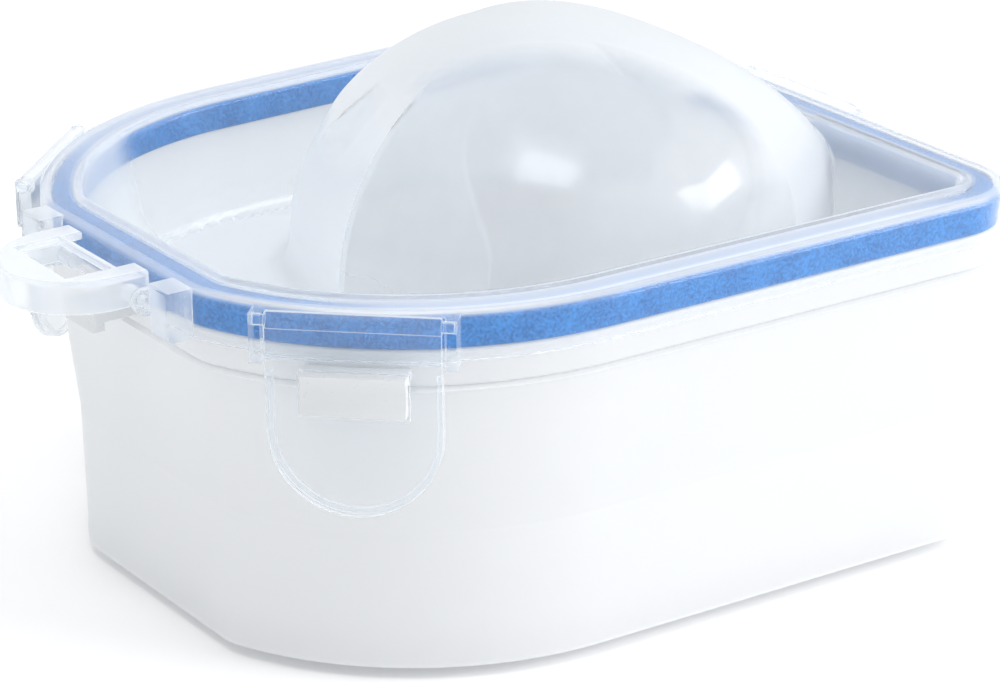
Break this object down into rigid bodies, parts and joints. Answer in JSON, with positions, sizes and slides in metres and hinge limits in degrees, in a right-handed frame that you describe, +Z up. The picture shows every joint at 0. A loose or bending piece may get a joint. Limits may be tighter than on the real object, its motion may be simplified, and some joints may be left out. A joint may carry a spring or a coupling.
{
  "type": "manicure soaking bowl",
  "caption": "Nail-soaking bowl: white hot-water tub, clear tray with palm dome, foam gasket and four hinged latches that hook over catches.",
  "frame": {"origin": "centre of the tub's flat resting face, level with the middle of the tray's length", "axes": "+Z up; +X from the fingers to the wrist end, along the bowl; +Y across the bowl"},
  "size_m": [0.2235, 0.1806, 0.1202],
  "materials": {
    "white_pp": "satin white polypropylene",
    "catch_white": "bright white, smooth",
    "blue_foam": "fine-celled blue foam",
    "clear_pp": "clear to slightly frosted polypropylene"
  },
  "bodies": {
    "bowl": {"tub": "white_pp", "gasket": "blue_foam", "tray": "clear_pp", "near_shoulder_catch": "catch_white", "far_shoulder_catch": "catch_white", "wrist_catch": "catch_white", "finger_catch": "catch_white"},
    "near_shoulder_latch": {"near_shoulder_latch": "clear_pp"},
    "far_shoulder_latch": {"far_shoulder_latch": "clear_pp"},
    "wrist_latch": {"wrist_latch": "clear_pp"},
    "finger_latch": {"finger_latch": "clear_pp"}
  },
  "joints": [
    {"name": "near_shoulder_latch_hinge", "type": "hinge", "parent": "bowl", "child": "near_shoulder_latch", "pos_m": [-0.075, -0.06643, 0.0871], "axis": [-0.7278, 0.6858, 0], "range_deg": [0, 120]},
    {"name": "far_shoulder_latch_hinge", "type": "hinge", "parent": "bowl", "child": "far_shoulder_latch", "pos_m": [-0.075, 0.06643, 0.0871], "axis": [0.7278, 0.6858, 0], "range_deg": [0, 120]},
    {"name": "wrist_latch_hinge", "type": "hinge", "parent": "bowl", "child": "wrist_latch", "pos_m": [0.0984, 0, 0.0871], "axis": [0, -1, 0], "range_deg": [0, 120]},
    {"name": "finger_latch_hinge", "type": "hinge", "parent": "bowl", "child": "finger_latch", "pos_m": [-0.0985, 0, 0.0828], "axis": [0, 1, 0], "range_deg": [-90, 10]}
  ]
}
